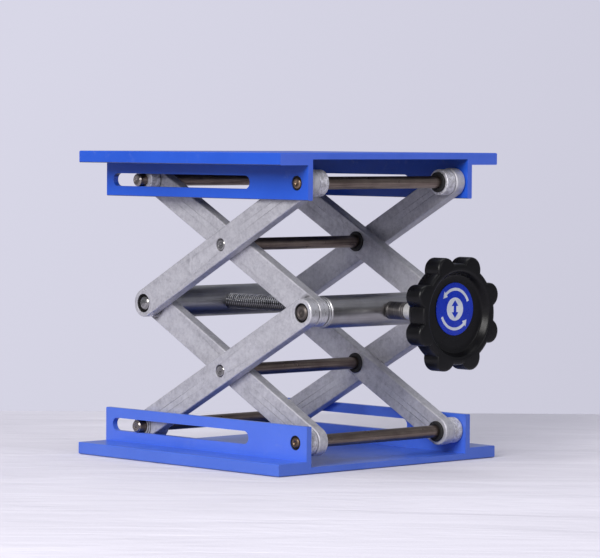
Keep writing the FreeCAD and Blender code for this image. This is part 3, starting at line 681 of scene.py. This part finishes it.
def mid_bar(node, domed, bore, seats):
    mid = middle(node)
    half, end, rb, rj = 39.8, 53.6, 8.0, 4.65
    if domed:
        tip = [(end, 0.0), (end - 0.08, 1.0), (end - 0.32, 2.0), (end - 0.72, 2.9), (end - 1.25, 3.55), (end - 1.9, 3.95), (end - 2.0, 4.15), (end - 0.9, 4.3),
               (end - 0.65, 4.45), (end - 0.8, rj)]
    else:
        tip = soften([(end - 0.8, 0, 0), (end - 0.35, 0.7, 0.2), (end - 0.45, 1.5, 0.2), (end - 0.05, 2.3, 0.3), (end - 0.1, 3.0, 0.4), (end - 0.7, 3.7, 0.4),
                      (end - 2.0, 3.95, 0.1), (end - 2.0, 4.15, 0), (end - 0.9, 4.3, 0.05), (end - 0.65, 4.45, 0.05), (end - 0.8, rj, 0)])
    shoulder = soften([(half, rj, 0), (half, rb, 0.8), (half - 3, rb, 0)], False, 5)
    right = tip + shoulder
    left = [(-t, r) for t, r in right]
    profile = left + [(-12.0, rb), (12.0, rb)] + right[::-1]
    # faces inside the end recess take the painted-shade material
    deep = lambda a, b: 2 if min(abs(a[0]), abs(b[0])) > end - 5 and max(a[1], b[1]) > (3.98 if domed else 3.97) else end_tag(half + 0.01)(a, b)
    v, f, t = lathe(profile, mid, "Y", 96, False, deep)
    ob = obj_from(node + "_v", v, f, [MATS["nut_bar_steel" if domed else "thrust_bar_steel"], MATS["bar_end" if domed else "rough_end"], MATS["recess_shade"]], None, (), 38, t)
    if seats:
        # the hole and its two flat seats are one cutter, so the cut stays watertight
        outline = [(-12, 0), (-12, 5.5), (-7.36, 5.5), (-7.36, bore), (7.36, bore), (7.36, 5.5), (12, 5.5), (12, 0)]
    else:
        outline = [(-12, 0), (-12, bore), (12, bore), (12, 0)]
    cutters = [cutter(outline, mid, "X")]
    cut_with(ob, cutters)
    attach(ob, BODY[node])
    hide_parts(node)


mid_bar("nut_bar", True, 4.1, False)
mid_bar("thrust_bar", False, 3.1, True)

# ------------------------------------------------------------------ lead screw with a real helical thread
ORIGIN = Vector((0, 0, AXIS_Z))


def thread(x0, x1, pitch, major, minor, n=48):
    """A trapezoidal thread from x0 to x1, closed to the axis at each end. Right-handed."""
    crest, root = major / 2, minor / 2
    prof = [(0.0, root), (0.17, root), (0.19, root + 0.03), (0.32, crest - 0.05), (0.36, crest), (0.60, crest), (0.64, crest - 0.05),
            (0.77, root + 0.03), (0.79, root)]
    m = len(prof)
    run = 0.9
    first = int(math.floor((x0 - run) / pitch - 1.2)) * n
    last = int(math.ceil((x1 + run) / pitch + 0.2)) * n
    verts, faces = [], []
    for k in range(first, last + n + 1):
        a = TAU * k / n
        for t, r in prof:
            raw = pitch * (k / n + t)
            x = min(max(raw, x0), x1)
            if raw < x0:
                r = max(0.0, (root - 0.15) * (1 - (x0 - raw) / run))
            elif raw > x1:
                r = max(0.0, (root - 0.15) * (1 - (raw - x1) / run))
            else:
                r = min(r, root - 0.15 + (raw - x0) * 1.0, root - 0.15 + (x1 - raw) * 1.0)
            verts.append(Vector((x, r * math.cos(a), r * math.sin(a))) * MM + ORIGIN)
    steps = last - first
    for k in range(steps):
        for j in range(m):
            if j + 1 < m:
                a, b, c, d = k * m + j, (k + 1) * m + j, (k + 1) * m + j + 1, k * m + j + 1
            else:
                a, b, c, d = k * m + j, (k + 1) * m + j, (k + 1 + n) * m, (k + n) * m
            if max(a, b, c, d) < len(verts):
                faces.append((a, b, c, d))
    return verts, faces


tv, tf = thread(-78.4, 59.3, 1.5, 8.0, 6.3)
me = bpy.data.meshes.new("lead_screw_v")
me.from_pydata([tuple(v) for v in tv], [], tf)
bm = bmesh.new()
bm.from_mesh(me)
bmesh.ops.remove_doubles(bm, verts=bm.verts, dist=2e-7)
bmesh.ops.dissolve_degenerate(bm, edges=bm.edges, dist=2e-7)
loose = [v for v in bm.verts if not v.link_faces]
bmesh.ops.delete(bm, geom=loose, context="VERTS")
nv, nf, nt = lathe(soften([(59.1, 0, 0), (59.1, 3.0, 0), (107.4, 3.0, 0.2), (108.0, 2.4, 0.2), (108.0, 0, 0)]), ORIGIN, "X", 64)
vs = [bm.verts.new(v) for v in nv]
for f in nf:
    bm.faces.new([vs[i] for i in f])
bmesh.ops.recalc_face_normals(bm, faces=bm.faces)
bm.to_mesh(me)
bm.free()
for f in me.polygons:
    f.use_smooth = True
me.set_sharp_from_angle(angle=math.radians(38))
me.materials.append(MATS["thread_steel"])
screw = bpy.data.objects.new("lead_screw_v", me)
scene.collection.objects.link(screw)
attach(screw, BODY["lead_screw"])
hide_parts("lead_screw")

turned("thrust_collar_v", "thrust_collar", soften([(74.42, 3.05, 0.1), (74.42, 4.4, 0.35), (76.3, 4.4, 0.05), (76.5, 4.22, 0.05), (76.9, 4.22, 0.05), (77.1, 4.4, 0.05),
                                                      (84.9, 4.4, 0.05), (85.05, 4.27, 0.05), (85.3, 4.27, 0.05), (85.45, 4.4, 0.05), (86.58, 4.4, 0.35), (86.58, 3.05, 0.1)], True, 4),
       [MATS["collar_steel"]], "X", 96, True, None, ORIGIN)
turned("collar_pin_v", "collar_pin", soften([(-3.95, 0, 0), (-3.95, 0.95, 0.3), (3.95, 0.95, 0.3), (3.95, 0, 0)]),
       [MATS["bar_end"]], "Z", 32)
turned("knob_bush_v", "knob_bush", soften([(86.82, 3.05, 0.1), (86.82, 4.1, 0.35), (110.0, 4.1, 0.1), (110.0, 3.05, 0.1)], True, 4),
       [MATS["bush_steel"]], "X", 96, True, None, ORIGIN)


# ------------------------------------------------------------------ knob
def smooth_max(values, k):
    top = max(values)
    return top + math.log(sum(math.exp(k * (v - top)) for v in values)) / k


def lobe_radius(phi, disc=24.55, ring=23.4, lobe=5.7):
    """Outline of the knob: a disc with eight round lobes blended into it. phi is from straight down."""
    values = [disc]
    for k in range(8):
        a = phi - math.radians(22.5 + 45 * k)
        s = ring * math.sin(a)
        if math.cos(a) > 0 and abs(s) < lobe:
            values.append(ring * math.cos(a) + math.sqrt(lobe * lobe - s * s))
    return min(smooth_max(values, 4.5), ring + lobe - 0.02)


def knob():
    back, front, floor_x = 111.5, 121.9, 118.0
    n = 480
    # t is X; the second value is a radius, or an inset from the outline when the flag is set
    prof = [(floor_x, 0, 0), (floor_x, 8, 0), (floor_x, 15.6, 0)]
    prof += [(floor_x + 0.03, 18.0, 0), (floor_x + 0.14, 18.6, 0), (floor_x + 0.4, 18.98, 0), (floor_x + 0.8, 19.24, 0), (floor_x + 1.5, 19.62, 0),
             (floor_x + 2.3, 20.06, 0), (floor_x + 3.0, 20.46, 0), (front - 0.5, 20.76, 0), (front - 0.2, 21.05, 0), (front - 0.05, 21.4, 0), (front, 21.8, 0),
             (front, 22.3, 0)]
    for inset, x in ((1.7, front), (1.2, front - 0.06), (0.8, front - 0.22), (0.42, front - 0.5), (0.14, front - 0.95), (0.0, front - 1.6),
                     (0.0, (front + back) / 2), (0.0, back + 1.6), (0.14, back + 0.95), (0.42, back + 0.5), (0.8, back + 0.22), (1.2, back + 0.06),
                     (1.7, back), (2.8, back)):
        prof.append((x, inset, 1))
    prof += [(back, 18.4, 0), (back - 0.15, 17.5, 0), (back - 0.6, 16.7, 0), (back - 1.4, 16.1, 0), (back - 2.6, 15.75, 0), (105.0, 15.0, 0),
             (102.2, 14.3, 0), (101.3, 14.05, 0), (100.75, 13.6, 0), (100.5, 12.95, 0), (100.5, 12.2, 0), (100.5, 4.9, 0), (100.75, 4.25, 0),
             (101.2, 4.13, 0), (110.4, 4.13, 0), (110.4, 0, 0)]
    verts, rows = [], []
    for x, r, flag in prof:
        if not flag and r < 1e-6:
            rows.append([len(verts)])
            verts.append(Vector((x, 0, 0)) * MM + ORIGIN)
            continue
        rows.append(list(range(len(verts), len(verts) + n)))
        for k in range(n):
            phi = TAU * k / n
            ro = lobe_radius(phi)
            rr = ro - r if flag else r
            if flag and x > front - 0.1:
                rr = max(rr, 22.5)
            verts.append(Vector((x, rr * math.sin(phi), -rr * math.cos(phi))) * MM + ORIGIN)
    faces = []
    for p, q in zip(rows, rows[1:]):
        for k in range(n):
            k2 = (k + 1) % n
            if len(p) == 1:
                faces.append((p[0], q[k], q[k2]))
            elif len(q) == 1:
                faces.append((p[k], q[0], p[k2]))
            else:
                faces.append((p[k], q[k], q[k2], p[k2]))
    ob = obj_from("knob_v", verts, faces, [MATS["black_plastic"]], None, (), 50)
    hole = cutter([(1, 0), (1, 2.03), (22, 2.03), (22, 0)], Vector((105.6 * MM, 0, AXIS_Z)), "Y", 48)
    cut_with(ob, [hole])
    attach(ob, BODY["knob"])
    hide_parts("knob")


knob()

# grub screw with a round socket
gx = middle("knob_grub_screw")
g_lo, g_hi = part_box("knob_grub_screw")
gv, gf, gt = lathe(soften([(0, 0, 0), (0, 1.3, 0), (0.7, 2.0, 0.2), (9.3, 2.0, 0.1), (9.6, 1.7, 0), (9.6, 1.15, 0), (7.6, 1.05, 0), (7.6, 0, 0)]),
                   Vector((gx[0], g_lo[1], gx[2])), "Y", 48)
obj_from("knob_grub_screw_v", gv, gf, [MATS["screw_steel"]], BODY["knob_grub_screw"], ("knob_grub_screw",), 38, gt)


# ------------------------------------------------------------------ knob label, a plain raise and lower mark
l_lo, l_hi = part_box("knob_label")
LC = Vector((0, (l_lo[1] + l_hi[1]) / 2, (l_lo[2] + l_hi[2]) / 2))
x0, x1 = l_lo[0] / MM, l_hi[0] / MM
turned("knob_label_v", "knob_label", soften([(x0, 0, 0), (x0, 12.75, 0.05), (x1, 12.75, 0.15), (x1, 0, 0)]), [MATS["label_blue"]], "X", 96,
       False, None, LC)


def flat_shape(name, outline, holes=(), depth=0.06, mat="label_white", lift=0.0):
    """A thin printed shape on the label: outline in (across, up) mm, seen from the front."""
    bm2 = bmesh.new()
    loops = [outline] + list(holes)
    edges = []
    for loop in loops:
        vs2 = [bm2.verts.new((x1 * MM + lift * MM, a * MM + LC.y, b * MM + LC.z)) for a, b in loop]
        edges += [bm2.edges.new((vs2[i], vs2[(i + 1) % len(vs2)])) for i in range(len(vs2))]
    bmesh.ops.triangle_fill(bm2, use_beauty=True, edges=edges)
    geom = bmesh.ops.extrude_face_region(bm2, geom=bm2.faces[:])
    moved = [g for g in geom["geom"] if isinstance(g, bmesh.types.BMVert)]
    bmesh.ops.translate(bm2, verts=moved, vec=(depth * MM, 0, 0))
    bmesh.ops.recalc_face_normals(bm2, faces=bm2.faces)
    me2 = bpy.data.meshes.new(name)
    bm2.to_mesh(me2)
    bm2.free()
    me2.materials.append(MATS[mat])
    ob = bpy.data.objects.new(name, me2)
    scene.collection.objects.link(ob)
    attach(ob, BODY["knob_label"])
    return ob


def arc_band(r0, r1, a0, a1, head, n=40):
    """A curved arrow: a band from a0 to a1 degrees with a pointed head past a1."""
    out, inn = [], []
    for k in range(n + 1):
        a = math.radians(a0 + (a1 - a0) * k / n)
        out.append((r1 * math.cos(a), r1 * math.sin(a)))
        inn.append((r0 * math.cos(a), r0 * math.sin(a)))
    mid = (r0 + r1) / 2
    wide = (r1 - r0) * 1.25
    a = math.radians(a1)
    tip = math.radians(a1 + head)
    pts = out + [((mid + wide) * math.cos(a), (mid + wide) * math.sin(a)), (mid * math.cos(tip), mid * math.sin(tip)),
                 ((mid - wide) * math.cos(a), (mid - wide) * math.sin(a))]
    return pts + inn[::-1]


for i, start in enumerate((22, 202)):
    flat_shape("label_turn_arrow_%d_v" % (i + 1), arc_band(8.9, 10.3, start, start + 108, 17))
disc = [(5.6 * math.cos(TAU * k / 64), 5.6 * math.sin(TAU * k / 64)) for k in range(64)]
flat_shape("label_middle_v", disc)
both = [(0, 4.3), (-2.3, 1.5), (-0.85, 1.5), (-0.85, -1.5), (-2.3, -1.5), (0, -4.3), (2.3, -1.5), (0.85, -1.5), (0.85, 1.5), (2.3, 1.5)]
flat_shape("label_up_down_v", both, mat="label_blue", lift=0.06)

# ------------------------------------------------------------------ camera
CAM = Vector((1.19679, -1.12084, 0.16194))
yaw, pitch, roll = math.radians(136.648), math.radians(-2.511), math.radians(0.325)
fwd = Vector((math.cos(pitch) * math.cos(yaw), math.cos(pitch) * math.sin(yaw), math.sin(pitch)))
right = Vector((math.sin(yaw), -math.cos(yaw), 0))
up = right.cross(fwd)
right2 = right * math.cos(roll) + up * math.sin(roll)
up2 = up * math.cos(roll) - right * math.sin(roll)
cam_data = bpy.data.cameras.new("camera")
cam_data.sensor_fit = "HORIZONTAL"
cam_data.sensor_width = 36
cam_data.lens = 3227.96 / 600 * 36
cam_data.clip_start = 0.01
cam_data.clip_end = 50
cam = bpy.data.objects.new("camera", cam_data)
cam.matrix_world = Matrix((
    (right2.x, up2.x, -fwd.x, CAM.x), (right2.y, up2.y, -fwd.y, CAM.y), (right2.z, up2.z, -fwd.z, CAM.z), (0, 0, 0, 1)))
scene.collection.objects.link(cam)
scene.camera = cam


# ------------------------------------------------------------------ table, backdrop and lights
def cloth():
    """Pale cloth. Its bounce on to the jack is held down, so that the undersides stay dark."""
    m = Mat("table_cloth")
    c = m.coord
    fold = m.noise(m.mapped((1, 3.2, 1), (0, 0, math.radians(-46))), 7, 4, 0.55, 0.6)
    weave = m.noise(c, 1400, 2)
    col = m.ramp(m.noise(c, 6, 3), (0.3, srgb(222, 219, 230)), (0.7, srgb(232, 229, 240)))
    path = m.n("LightPath")
    col = m.mix(path.outputs["Is Diffuse Ray"], col, srgb(150, 148, 156))
    n = m.bump(fold, 0.35, 0.01)
    n = m.bump(weave, 0.08, 0.0003, n)
    return m.base(col, 0.9, n, Specular_IOR_Level=0.2)


flat = Vector((fwd.x, fwd.y, 0)).normalized()
side_v = Vector((flat.y, -flat.x, 0))
far_edge = Vector((CAM.x, CAM.y, 0)) + flat * 1.90
corners = [far_edge + side_v * 4, far_edge - side_v * 4, far_edge - side_v * 4 - flat * 7, far_edge + side_v * 4 - flat * 7]
fm = bpy.data.meshes.new("table")
fm.from_pydata([(c.x, c.y, -0.0002) for c in corners], [], [(0, 1, 2, 3)])
fm.materials.append(cloth())
table_top = bpy.data.objects.new("table", fm)
scene.collection.objects.link(table_top)

world = bpy.data.worlds.new("backdrop")
scene.world = world
world.use_nodes = True
wt = world.node_tree
wt.nodes.clear()
w_out = wt.nodes.new("ShaderNodeOutputWorld")
w_mix = wt.nodes.new("ShaderNodeMixShader")
w_path = wt.nodes.new("ShaderNodeLightPath")
w_fill = wt.nodes.new("ShaderNodeBackground")
w_seen = wt.nodes.new("ShaderNodeBackground")
w_fill.inputs["Color"].default_value = srgb(225, 227, 238)
w_fill.inputs["Strength"].default_value = 0.42
w_seen.inputs["Color"].default_value = srgb(212, 211, 227)
w_seen.inputs["Strength"].default_value = 1.0
w_dir = wt.nodes.new("ShaderNodeTexCoord")
w_dot = wt.nodes.new("ShaderNodeVectorMath")
w_dot.operation = "DOT_PRODUCT"
w_dot.inputs[1].default_value = right * 3.9 - Vector((0, 0, 2.3))
w_add = wt.nodes.new("ShaderNodeMath")
w_add.operation = "ADD"
w_add.use_clamp = True
w_add.inputs[1].default_value = 0.5 - 0.1
w_ramp = wt.nodes.new("ShaderNodeMix")
w_ramp.data_type = "RGBA"
w_ramp.inputs[6].default_value = srgb(216, 215, 231)
w_ramp.inputs[7].default_value = srgb(203, 202, 218)
wt.links.new(w_dir.outputs["Generated"], w_dot.inputs[0])
wt.links.new(w_dot.outputs["Value"], w_add.inputs[0])
wt.links.new(w_add.outputs[0], w_ramp.inputs[0])
wt.links.new(w_ramp.outputs[2], w_seen.inputs["Color"])
wt.links.new(w_path.outputs["Is Camera Ray"], w_mix.inputs["Fac"])
wt.links.new(w_fill.outputs[0], w_mix.inputs[1])
wt.links.new(w_seen.outputs[0], w_mix.inputs[2])
wt.links.new(w_mix.outputs[0], w_out.inputs["Surface"])


def softbox(name, place, aim, size, power, colour=(1, 1, 1)):
    d = bpy.data.lights.new(name, "AREA")
    d.shape = "RECTANGLE"
    d.size, d.size_y = size
    d.energy = power
    d.color = colour
    o = bpy.data.objects.new(name, d)
    o.location = place
    o.rotation_euler = (Vector(aim) - Vector(place)).to_track_quat("-Z", "Y").to_euler()
    scene.collection.objects.link(o)
    return o


softbox("key", (0.62, -1.68, 0.95), (0, 0, 0.08), (0.9, 0.9), 36, (1.0, 0.985, 0.97))
softbox("fill", (1.9, 0.15, 0.9), (0, 0, 0.08), (0.8, 0.8), 5, (0.97, 0.98, 1.0))
softbox("top", (-0.2, 0.2, 1.9), (0, 0, 0), (1.3, 1.3), 9, (1, 1, 1))
